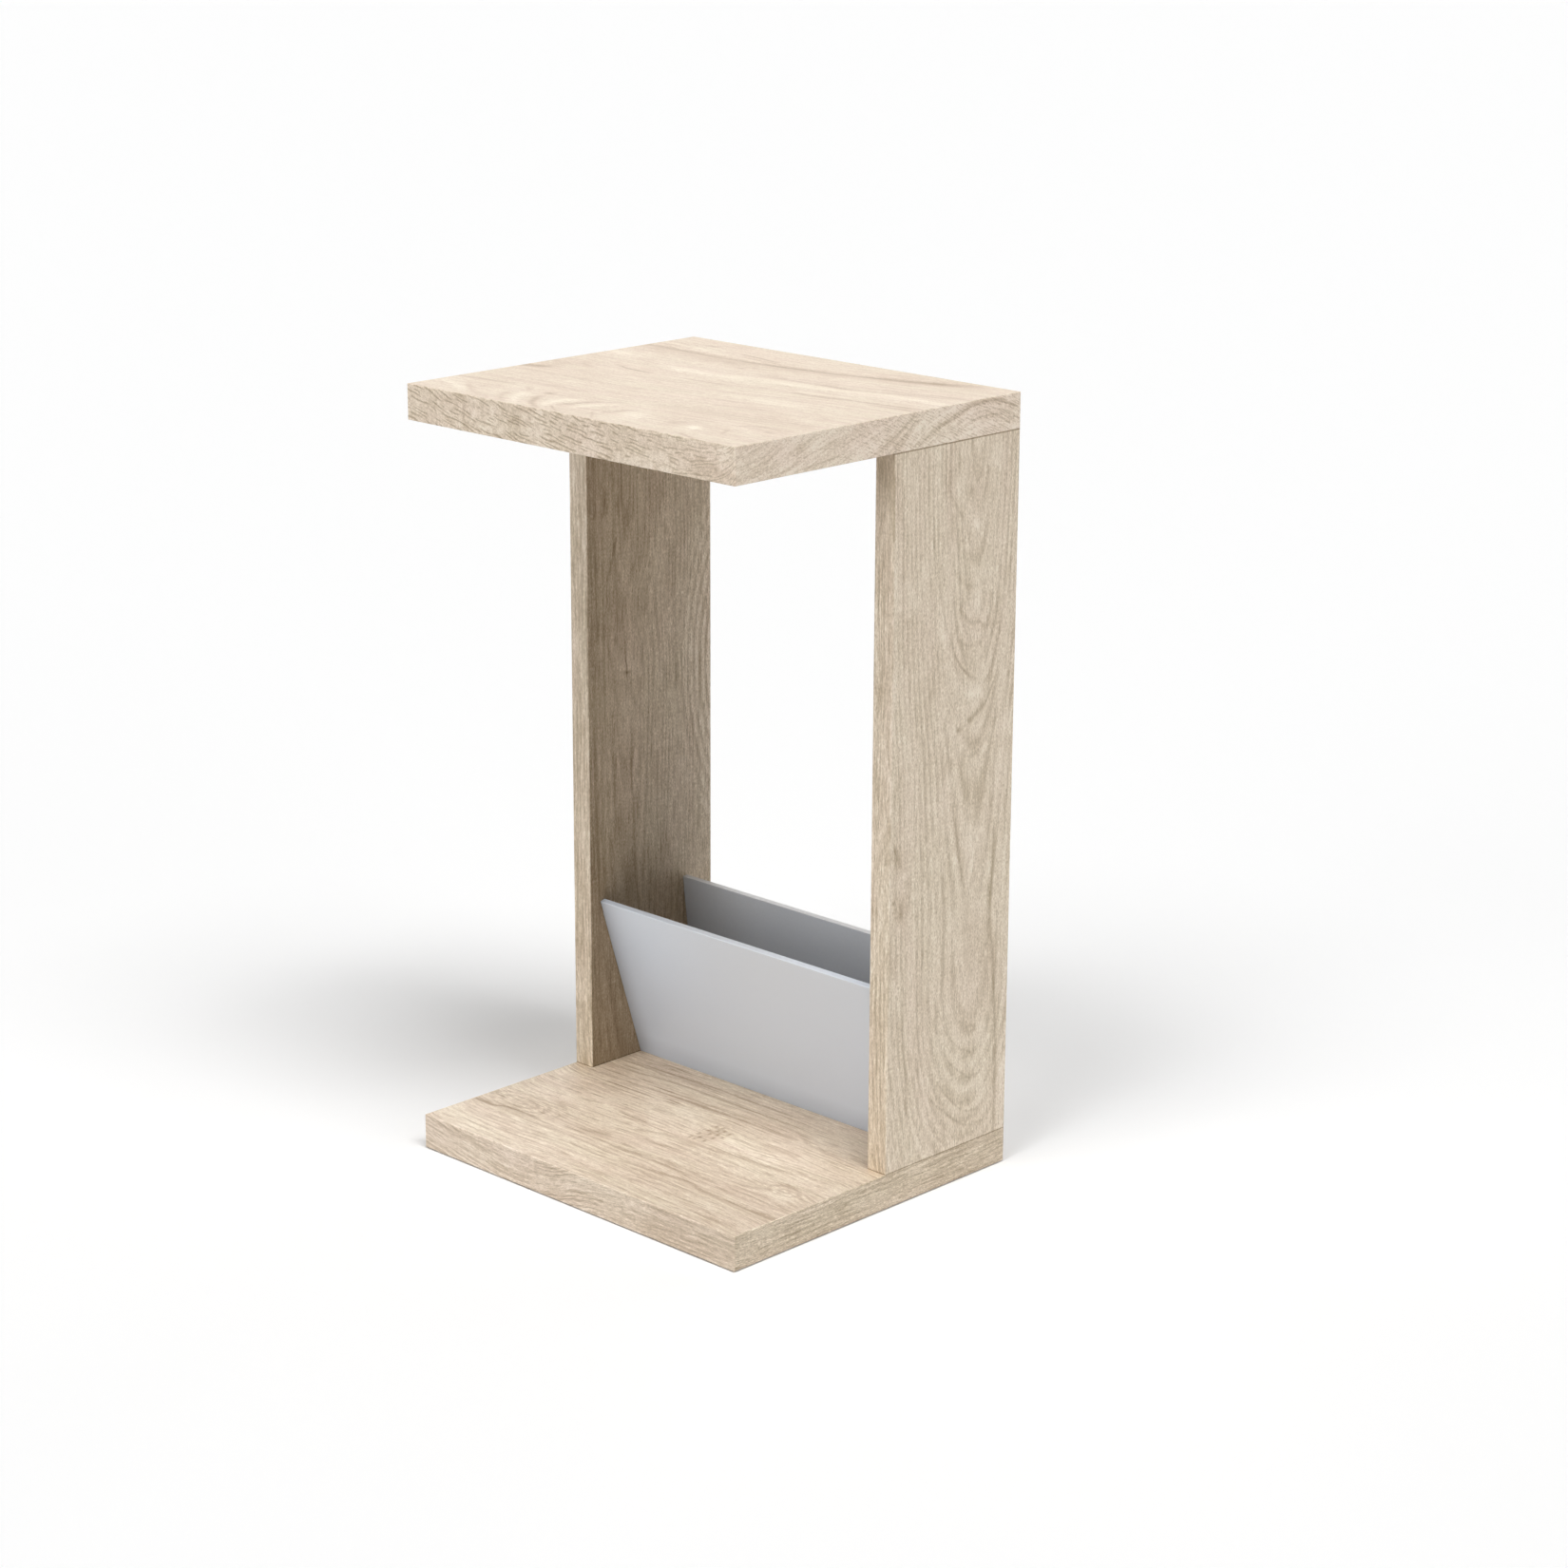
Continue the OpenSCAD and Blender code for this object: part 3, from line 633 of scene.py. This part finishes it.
leftFace = dict(
    rightFace, seed=31.0, ink=1.3, innerFace="main", heartLine=43.0,
    heart=[(0, 5), (90, 8), (150, 10), (235, 12), (300, 16), (400, 22), (470, 26), (566, 34)],
    eyes=[(230.0, 43.0, 30.0, 12.0, 7.0), (176.0, 60.0, 30.0, 20.0, 12.0)],
    grain=(0.24, 0.20, 0.11, 0.08, 0.07), ringDark=0.30, streakDark=0.28, wander=0.7,
    tone=0.17, rose=0.25, blush=0.3,
    lines=[
        ([(76, 22), (99, 20)], 0.7, 0.40),
        ([(89, 24), (102, 22)], 0.6, 0.35),
        ([(50, 35), (75, 36), (95, 36), (112, 36)], 0.8, 0.26),
        ([(50, 39), (80, 39), (102, 40)], 0.8, 0.34),
        ([(112, 37), (130, 30), (145, 26), (158, 22)], 1.4, 0.30),
        ([(150, 23), (175, 21), (190, 20), (208, 21)], 0.9, 0.20),
        ([(205, 24), (215, 25), (245, 31)], 1.0, 0.15),
        ([(203, 42), (215, 42), (225, 43), (244, 44)], 0.8, 0.65),
        ([(275, 49), (330, 48), (345, 50), (370, 50), (400, 52), (450, 56)], 1.7, 0.22),
        ([(240, 56), (270, 58), (300, 57)], 1.4, 0.12),
        ([(110, 46), (140, 50), (165, 49)], 1.4, 0.12),
        # painted shade: the next two broad bands run the whole height and darken the face along its front
        # edge
        ([(-200, 12), (280, 14), (760, 12)], 36.0, 0.16),
        ([(-200, -2), (280, 0), (760, -2)], 10.0, 0.20),
        ([(20, 6), (150, 9), (300, 7), (420, 10), (560, 8)], 2.0, 0.16),
        ([(60, 16), (200, 18), (330, 15), (500, 17)], 1.6, 0.14),
        ([(120, 27), (260, 30), (400, 28), (560, 31)], 1.8, 0.12),
        # painted light: this broad band runs the whole height and lightens the face along its rear edge
        ([(-200, 136), (280, 136), (760, 136)], 30.0, -0.10),
    ],
    arcs=[],
    marks=[(234, 44, 1.3, 3.6, 0.5), (205, 31, 3, 1.5, 0.3), (180, 55, 13, 10, 0.10),
           (140, 56, 26, 12, 0.06), (235, 12, 26, 10, 0.08)],
    swirls=[(177, 62, 28, 20, 2.0, 0.05), (240, 184, 190, 94, 14.0, 0.24)],
)
oakBoard("top_board", topFace, 0, 1, 2)
oakBoard("base_board", baseFace, 0, 1, 2)
oakBoard("right_upright", rightFace, 2, 1, 0)
oakBoard("left_upright", leftFace, 2, 1, 0)
print("boards laid with oak")


# Edge bands: along runs down the strip and across over its width, both in millimetres

edging = {
    "arris": 0.6,
    "arrisPale": 0.06,
    "rimFacing": (0.4, 0.9),
    # sizes of the noises: length along the strip and width over it
    "speck": (1.1, 0.75),
    "cell": (2.4, 1.4),
    "patch": (5.0, 5.0),
    "warp": (14.0, 9.0),
    "cloud": (30.0, 22.0),
    "blush": (60.0, 30.0),
    "ringLength": 300.0,
    "fineLength": 30.0,
    "finePitch": 0.22,  # as a share of the rings' pitch
    # rays: how they wander off their rows, and how they are broken up
    "raySway": (22.0, 9.0),
    "rayStray": 0.45,
    "rayRow": 0.27,
    "rayShows": (-0.35, 0.35),
    "cellHeight": 0.3,
    "speckHeight": 0.2,
    "grooveDepth": 0.06,
}


# Sawn across the log: soft growth rings, and dark thin rays that cross them
def endFigure(along, across, look):
    seed = look["seed"]
    warp = swing(along, across, edging["warp"], seed)
    rayLine = across + along.curve(look["rayDrop"]) + warp * look["rayWarp"]
    if "ringRise" in look:
        ringLine = across - along.curve(look["ringRise"]) + warp * look["ringWarp"]
    else:
        ringLine = along + across * look["ringTilt"] + warp * look["ringWarp"]
    pitch = look["ringPitch"]
    ring = swing(ringLine, along, (pitch, edging["ringLength"]), seed + 1, 2.0, 0.55)
    fineSize = (pitch * edging["finePitch"], edging["fineLength"])
    fine = swing(ringLine, along, fineSize, seed + 2, 2.0, 0.6)
    # rays lie one pitch apart, and each is broken in places of its own
    stray = swing(along, rayLine, edging["raySway"], seed + 3, 1.0) * edging["rayStray"]
    row = rayLine / look["rayPitch"] + stray
    breakSize = (look["rayLength"], edging["rayRow"])
    broken = swing(along, row.maths("FLOOR"), breakSize, seed + 4, 1.0).step(*edging["rayShows"])
    thick = look["rayWidth"] / look["rayPitch"]
    ray = row.maths("FRACT").bell(0.5, thick) * broken * along.curve(look["rayArea"])
    speck = swing(along, rayLine, edging["speck"], seed + 5, 1.0)
    cell = swing(along, rayLine, edging["cell"], seed + 6, 1.0)
    patch = swing(along, across, edging["patch"], seed + 8)
    cloud = swing(along, across, edging["cloud"], seed + 9, 1.0)
    dark = ring * look["ringDark"] + fine * look["fineDark"] + ray * look["rayDark"] + look["tone"]
    for layer, share in zip((speck, cell, patch, cloud), look["grain"]):
        dark = dark + layer * share
    dark = drawn(dark, along, across, cell, look)
    rosy = (swing(along, across, edging["blush"], seed + 7, 1.0) * look["blush"] + look["rose"]).clipped()
    return dark, rosy, cell * edging["cellHeight"] + speck * edging["speckHeight"] - ray


def oakBand(name, look, alongAxis, acrossAxis, figure):
    material, tree, shader = newMaterial(name + "_oak")
    low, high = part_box(name)
    place = millimetres(tree)
    along = place[alongAxis] - low[alongAxis] / mm
    if look.get("fromTop"):
        along = along * -1.0 + (high[alongAxis] - low[alongAxis]) / mm
    across = place[acrossAxis] - low[acrossAxis] / mm
    width = (high[acrossAxis] - low[acrossAxis]) / mm
    dark, rosy, height = figure(along, across, look)
    # painted highlight: the band is paler along both of its arrises
    paintedArrisHighlight = across.step(edging["arris"], 0.0) + across.step(width - edging["arris"], width)
    dark = dark - paintedArrisHighlight * edging["arrisPale"]
    # painted shade: where the strip turns to face up it is darker, so that the overhead light doesn't make
    # it paler than the face beside it
    dark = dark + facingUp(tree).step(*edging["rimFacing"]) * look.get("paintedUpFacingShade", 0.0)
    if alongAxis == 2:
        dark = dark + jointLine(place[2], low[2] / mm, high[2] / mm)
    finishOak(tree, shader, dark, rosy, height, edging["grooveDepth"])
    dress(name, material)


# One look for each kind of strip, in millimetres from its left or front end and its foot:
# rayDrop: how the rays slope along the strip; rayArea: where they show, from 0 to 1
# ringTilt or ringRise: how the growth rings lean, or the line that they follow
# and how much painted shade the strip takes on its upper rim, where it faces up
topFrontEdge = {
    "seed": 41.0,
    "fadeOut": 14.0,
    "reach": ((-20, 370), (-10, 40)),
    "rayDrop": [(0, 0), (22, 6), (62, 19), (100, 28), (130, 36), (220, 52), (270, 57), (310, 58), (350, 44)],
    "rayArea": [(0, 0.8), (20, 1), (150, 1), (230, 1), (260, 0.7), (350, 0.6)],
    "rayWarp": 0.25, "rayLength": 14.0, "rayPitch": 2.8, "rayWidth": 0.55, "rayDark": 0.62,
    "ringTilt": -0.15, "ringWarp": 1.6, "ringPitch": 13.0, "ringDark": 0.03,
    "fineDark": 0.05, "grain": (0.15, 0.13, 0.13, 0.08),
    "tone": -0.13, "paintedUpFacingShade": 0.2, "rose": 0.5, "blush": 0.3,
    "marks": [
        (5, 14, 2.5, 12, 0.15), (65, 12, 2.5, 13, 0.18), (86, 18, 2.2, 10, 0.17), (122, 14, 7, 10, 0.14),
        (156, 22, 3, 7, 0.1), (220, 14, 8, 10, 0.09), (240, 12, 5, 12, 0.09), (315, 10, 6, 10, 0.1),
        (334, 18, 12, 10, -0.1),
    ],
    "lines": [([(300, 20), (320, 12), (360, 3)], 2.5, 0.14)],
    "swirls": [(350, 34, 42, 22, 7.0, 0.1)],
}
topSideEdge = dict(
    topFrontEdge, seed=51.0,
    rayDrop=[(0, 0), (60, -10), (150, 10), (200, 34), (250, 58), (306, 84)],
    rayArea=[(0, 0.3), (60, 0.3), (120, 0.5), (150, 1), (306, 1)],
    ringRise=[(0, 0), (10, 1), (25, 4), (41, 11), (56, 18), (75, 26), (107, 37), (150, 52), (163, 58),
              (178, 67), (194, 80), (205, 86), (228, 94), (259, 101.5), (278, 101), (306, 90)],
    rayLength=9.0, rayPitch=2.5, rayDark=0.3, ringPitch=6.0, ringWarp=0.7, ringDark=0.15, fineDark=0.13,
    grain=(0.15, 0.15, 0.07, 0.07), tone=-0.20, paintedUpFacingShade=0.27, rose=0.5,
    marks=[(66, 15, 7, 4, 0.16), (12, 13, 6, 4, 0.1)], swirls=[],
    lines=[
        ([(-8, 14), (10, 24), (24, 31)], 0.9, 0.20),
        ([(-8, 14), (11, 10.7), (25, 12), (41, 19.5), (58, 28)], 1.6, 0.12),
        ([(-8, 3), (25, 6), (41, 9.5), (56, 16), (75, 23), (92, 29)], 1.5, 0.13),
        ([(26, 0), (50, 4), (70, 11), (90, 16), (110, 22)], 0.9, 0.22),
        ([(50, 0), (75, 3.5), (100, 6), (128, 12)], 0.8, 0.20),
        ([(156, 3), (163, 5.5), (178, 14), (188, 21.7), (197, 29)], 1.5, 0.14),
        ([(176, -2), (182, 1.3), (194, 5), (205, 11), (218, 15), (228, 18.6), (240, 22), (259, 26),
          (278, 25.5), (290, 21), (308, 14)], 1.9, 0.26),
        ([(215, -3), (228, 4), (241, 9.3), (259, 14.5), (278, 15), (297, 10.6), (310, 6)], 1.4, 0.15),
    ],
)
longEdge = dict(
    rightFace, seed=61.0, ink=1.3, swayOver=(50.0, 12.0), sway=0.8,
    rise=[(0, 0), (75, 12), (110, 15), (180, 4), (215, 0), (350, -1)],
    ragged=2.0, ringPitch=4.2, ringDark=0.32, streakDark=0.24, grain=(0.13, 0.15, 0.13, 0.06, 0.05),
    poreDark=0.13, tone=0.01, rose=0.6, wander=0.7,
    lines=[
        ([(0, 22), (40, 14), (75, 9), (120, 8), (150, 12)], 1.0, 0.14),
        ([(30, 27), (60, 21), (100, 17)], 0.9, 0.14),
        ([(120, 22), (150, 25), (200, 24)], 0.9, 0.12),
        ([(225, 8), (290, 10), (360, 9)], 0.8, 0.14),
        ([(210, 16), (280, 17), (360, 15)], 0.9, 0.12),
    ],
    heart=None, arcs=[], marks=[(300, 14, 90, 60, 0.08), (50, 14, 90, 60, -0.045)],
)
sideEdge = dict(
    longEdge, seed=64.0, rise=[(0, 0), (150, 3), (306, 0)], tone=0.16, rose=0.15,
    grain=(0.22, 0.18, 0.09, 0.08, 0.08), lines=[], marks=[],
)
uprightEdge = dict(
    longEdge, seed=71.0, rise=[(0, 3), (160, 0), (400, 1), (566, -6)], fromTop=True, tone=0.05, rose=0.2,
    # its one mark is painted shadow: darker for about 40 mm below the top board
    grain=(0.15, 0.18, 0.14, 0.09, 0.08), lines=[], marks=[(12, 9, 38, 60, 0.16)],
)
leftEdge = dict(
    # its one mark is painted light: paler about 80 mm below the top board
    uprightEdge, seed=73.0, tone=0.13, grain=(0.13, 0.16, 0.13, 0.12, 0.10), marks=[(78, 9, 32, 60, -0.15)],
)

for side in ("front", "rear"):
    oakBand("top_" + side + "_band", topFrontEdge, 0, 2, endFigure)
    oakBand("base_" + side + "_band", longEdge, 0, 2, oakFigure)
for side, look in (("left", leftEdge), ("right", uprightEdge)):
    oakBand("top_" + side + "_band", topSideEdge, 1, 2, endFigure)
    oakBand("base_" + side + "_band", sideEdge, 1, 2, oakFigure)
    for place in ("front", "rear"):
        oakBand(side + "_upright_" + place + "_band", look, 2, 0, oakFigure)
print("edges banded")


# Rack panels: matt silver lacquer on sheet

# painted shade: the panels' colour is mixed towards this black in their corners
paintedShadeBlack = (0.0, 0.0, 0.0, 1.0)
lacquer = {
    # each panel's colour, its flecks, a cooler colour painted in low down by the wood, and its painted
    # corner shade
    # the cooler colours offset the warm light that the wood throws on the panels; the front panel's own
    # colour is cool for the same reason
    "panels": {
        "rack_front_panel": {"colour": shade(230, 236, 244), "fleck": shade(218, 224, 232),
                             "low": shade(222, 233, 249), "corner": (20.0, 0.3)},
        "rack_rear_panel": {"colour": shade(243, 244, 246), "fleck": shade(231, 232, 234),
                            "low": shade(242, 244, 247), "corner": (90.0, 0.95)},
    },
    "lowReach": 150.0,
    "lowGain": 2.0,
    "metallic": 0.3,
    "roughness": 0.5,
    "peelRough": 0.02,
    "fleckSize": (0.5, 0.5),
    "fleckSeed": 5.0,
    "fleckShows": (-0.4, 1.2),
    "peelSize": (3.0, 3.0),
    "peelSeed": 6.0,
    "peelDepth": 0.01,
}


def silverLacquer(name, look):
    material, tree, shader = newMaterial(name + "_lacquer")
    place = millimetres(tree)
    fleck = swing(place[0], place[2], lacquer["fleckSize"], lacquer["fleckSeed"], 1.0)
    peel = swing(place[0], place[2], lacquer["peelSize"], lacquer["peelSeed"], 1.0)
    # painted shade: the colour darkens towards black into the panel's corners
    cornerReach, paintedCornerShade = look["corner"]
    paintedShadeShare = (shutIn(tree, cornerReach) * -paintedCornerShade).maths("EXPONENT")
    colour = mixColours(tree, fleck.step(*lacquer["fleckShows"]), look["colour"], look["fleck"])
    # painted light: where the panel is shut in, its colour turns to the cooler low colour, offsetting the
    # wood's warm light on it
    low = (shutIn(tree, lacquer["lowReach"]) * lacquer["lowGain"]).clipped()
    colour = mixColours(tree, low, colour, look["low"])
    tree.links.new(mixColours(tree, paintedShadeShare, paintedShadeBlack, colour), shader.inputs["Base Color"])
    shader.inputs["Metallic"].default_value = lacquer["metallic"]
    plug(shader.inputs["Roughness"], peel * lacquer["peelRough"] + lacquer["roughness"])
    bumpInto(tree, shader, peel, lacquer["peelDepth"])
    dress(name, material)


for name, look in lacquer["panels"].items():
    silverLacquer(name, look)
print("rack lacquered")


# Fittings: cast zinc, drawn steel, beech and plastic

metals = {
    "zinc": {"colour": (178, 180, 182), "roughness": 0.38, "grain": (0.8, 0.8)},
    "steel": {"colour": (190, 190, 188), "roughness": 0.28, "grain": (0.4, 0.4)},
    "duller": 0.86,
    "seed": 2.0,
    "grainRough": 0.04,
    "grainDepth": 0.02,
}
beech = {
    "colour": shade(222, 188, 146),
    "fleck": shade(190, 150, 108),
    "fleckSize": (0.6, 2.5),
    "seed": 8.0,
    "fleckShows": (-0.4, 0.8),
    "roughness": 0.6,
    "fleckRough": 0.03,
    "fleckDepth": 0.05,
}
plastics = {
    "cover_plastic": {"colour": (214, 198, 176), "roughness": 0.4},
    "glide_nylon": {"colour": (172, 165, 151), "roughness": 0.5},
    "duller": 0.94,
    "grain": (0.35, 0.35),
    "seed": 9.0,
    "grainRough": 0.03,
    "grainDepth": 0.02,
}


# A colour with a fine even grain that dulls it in places, about half way at the grain's middle
def grained(tree, grain, colour, duller):
    part = grain * 0.25 + 0.5
    return mixColours(tree, part, shade(*colour), shade(*[channel * duller for channel in colour]))


def metal(name):
    look = metals[name]
    material, tree, shader = newMaterial(name)
    place = millimetres(tree)
    grain = swing(place[0] + place[1], place[2], look["grain"], metals["seed"])
    tree.links.new(grained(tree, grain, look["colour"], metals["duller"]), shader.inputs["Base Color"])
    shader.inputs["Metallic"].default_value = 1.0
    plug(shader.inputs["Roughness"], grain * metals["grainRough"] + look["roughness"])
    bumpInto(tree, shader, grain, metals["grainDepth"])
    return material


def beechWood():
    material, tree, shader = newMaterial("beech")
    place = millimetres(tree)
    fleck = swing(place[0] + place[1], place[2], beech["fleckSize"], beech["seed"])
    colour = mixColours(tree, fleck.step(*beech["fleckShows"]), beech["colour"], beech["fleck"])
    tree.links.new(colour, shader.inputs["Base Color"])
    plug(shader.inputs["Roughness"], fleck * beech["fleckRough"] + beech["roughness"])
    bumpInto(tree, shader, fleck, beech["fleckDepth"])
    return material


def mouldedPlastic(name):
    look = plastics[name]
    material, tree, shader = newMaterial(name)
    place = millimetres(tree)
    grain = swing(place[0] + place[2], place[1] + place[2], plastics["grain"], plastics["seed"])
    tree.links.new(grained(tree, grain, look["colour"], plastics["duller"]), shader.inputs["Base Color"])
    plug(shader.inputs["Roughness"], grain * plastics["grainRough"] + look["roughness"])
    bumpInto(tree, shader, grain, plastics["grainDepth"])
    return material


dress("cam_housings", metal("zinc"))
steel = metal("steel")
dress("cam_bolts", steel)
dress("base_screws", steel)
dowelWood = beechWood()
dress("top_dowels", dowelWood)
dress("base_dowels", dowelWood)
dress("cam_caps", mouldedPlastic("cover_plastic"))
dress("floor_glides", mouldedPlastic("glide_nylon"))
print("fittings finished")


# Studio: pale floor, white surround, and broad soft lamps far away

studio = {
    "floorColour": 0.62,
    "floorSeen": 1.0,
    "floorGlow": 0.03,
    "floorHalf": 12.0,
    "skyLight": 0.0,
    "lampAway": 3.0,
    # each lamp: compass angle from the front, height above the floor, spread, and level
    "lamps": {
        "front_key": (5.0, 52.0, 26.0, 0.20),
        "front_high": (5.0, 64.0, 20.0, 0.17),
        "side_key": (71.0, 64.0, 24.0, 0.375),
        "side_high": (89.0, 52.0, 20.0, 0.17),
        "front_low": (-5.0, 15.0, 40.0, 0.23),
        "side_low": (90.0, 15.0, 40.0, 0.123),
        "far_side_low": (270.0, 15.0, 40.0, 0.108),
        "back_low": (225.0, 15.0, 40.0, 0.069),
        "rear_low": (180.0, 15.0, 40.0, 0.15),
    },
}


# 1 where the camera, or a gloss or glass, looks at it, and 0 where it only lights other things
def looksAt(tree):
    path = tree.nodes.new("ShaderNodeLightPath")
    kinds = ("Is Camera Ray", "Is Glossy Ray", "Is Transmission Ray")
    straight, gloss, glass = [Field(tree, path.outputs[kind]) for kind in kinds]
    return (straight + gloss + glass).clipped()


def makeFloor():
    half = studio["floorHalf"]
    corners = [(-half, -half, 0), (half, -half, 0), (half, half, 0), (-half, half, 0)]
    mesh = bpy.data.meshes.new("studio_floor")
    mesh.from_pydata(corners, [], [(0, 1, 2, 3)])
    floor = bpy.data.objects.new("studio_floor", mesh)
    bpy.context.scene.collection.objects.link(floor)
    material, tree, shader = newMaterial("studio_floor")
    # seen straight it is white, and what it throws back on the table is duller
    tone = looksAt(tree) * (studio["floorSeen"] - studio["floorColour"]) + studio["floorColour"]
    colour = tree.nodes.new("ShaderNodeCombineColor")
    for socket in colour.inputs[:3]:
        plug(socket, tone)
    tree.links.new(colour.outputs[0], shader.inputs["Base Color"])
    shader.inputs["Emission Color"].default_value = (1.0, 1.0, 1.0, 1.0)
    plug(shader.inputs["Emission Strength"], looksAt(tree) * studio["floorGlow"])
    shader.inputs["Roughness"].default_value = 1.0
    shader.inputs["Specular IOR Level"].default_value = 0.0
    mesh.materials.append(material)


def makeSky():
    world = bpy.data.worlds.new("studio_sky")
    world.use_nodes = True
    bpy.context.scene.world = world
    tree = world.node_tree
    background = tree.nodes["Background"]
    background.inputs["Color"].default_value = (1.0, 1.0, 1.0, 1.0)
    plug(background.inputs["Strength"], looksAt(tree) * (1.0 - studio["skyLight"]) + studio["skyLight"])


def makeLamps():
    for name, (compass, height, spread, level) in studio["lamps"].items():
        light = bpy.data.lights.new(name, "SUN")
        light.angle = math.radians(spread)
        light.energy = level * math.pi
        place = bpy.data.objects.new(name, light)
        turn, rise = math.radians(compass), math.radians(height)
        towards = Vector((math.sin(turn) * math.cos(rise), -math.cos(turn) * math.cos(rise),
                          math.sin(rise)))
        place.location = towards * studio["lampAway"]
        place.rotation_mode = "QUATERNION"
        place.rotation_quaternion = (-towards).to_track_quat("-Z", "Y")
        bpy.context.scene.collection.objects.link(place)


makeFloor()
makeSky()
makeLamps()
print("studio lit")


# Camera: a long lens in front of the right corner of the table, a little above it

camera = {
    "place": (1.93025, -1.92721, 1.11684),
    "azimuth": 43.884,
    "elevation": 16.466,
    "roll": 0.286,
    "lens": 83.73,
    "sensor": 36.0,
    "farthest": 100.0,
}


def makeCamera():
    data = bpy.data.cameras.new("photo_camera")
    data.lens = camera["lens"]
    data.sensor_width = camera["sensor"]
    data.clip_end = camera["farthest"]
    lens = bpy.data.objects.new("photo_camera", data)
    azimuth, elevation = math.radians(camera["azimuth"]), math.radians(camera["elevation"])
    ahead = Vector((-math.sin(azimuth) * math.cos(elevation),
                    math.cos(azimuth) * math.cos(elevation), -math.sin(elevation)))
    level = Vector((math.cos(azimuth), math.sin(azimuth), 0.0))
    up = level.cross(ahead)
    roll = math.radians(camera["roll"])
    right = level * math.cos(roll) + up * math.sin(roll)
    top = right.cross(ahead)
    turn = Matrix((right, top, -ahead)).transposed().to_4x4()
    lens.matrix_world = Matrix.Translation(camera["place"]) @ turn
    bpy.context.scene.collection.objects.link(lens)
    bpy.context.scene.camera = lens


makeCamera()
bpy.context.scene.view_settings.view_transform = "Standard"
print("camera placed")
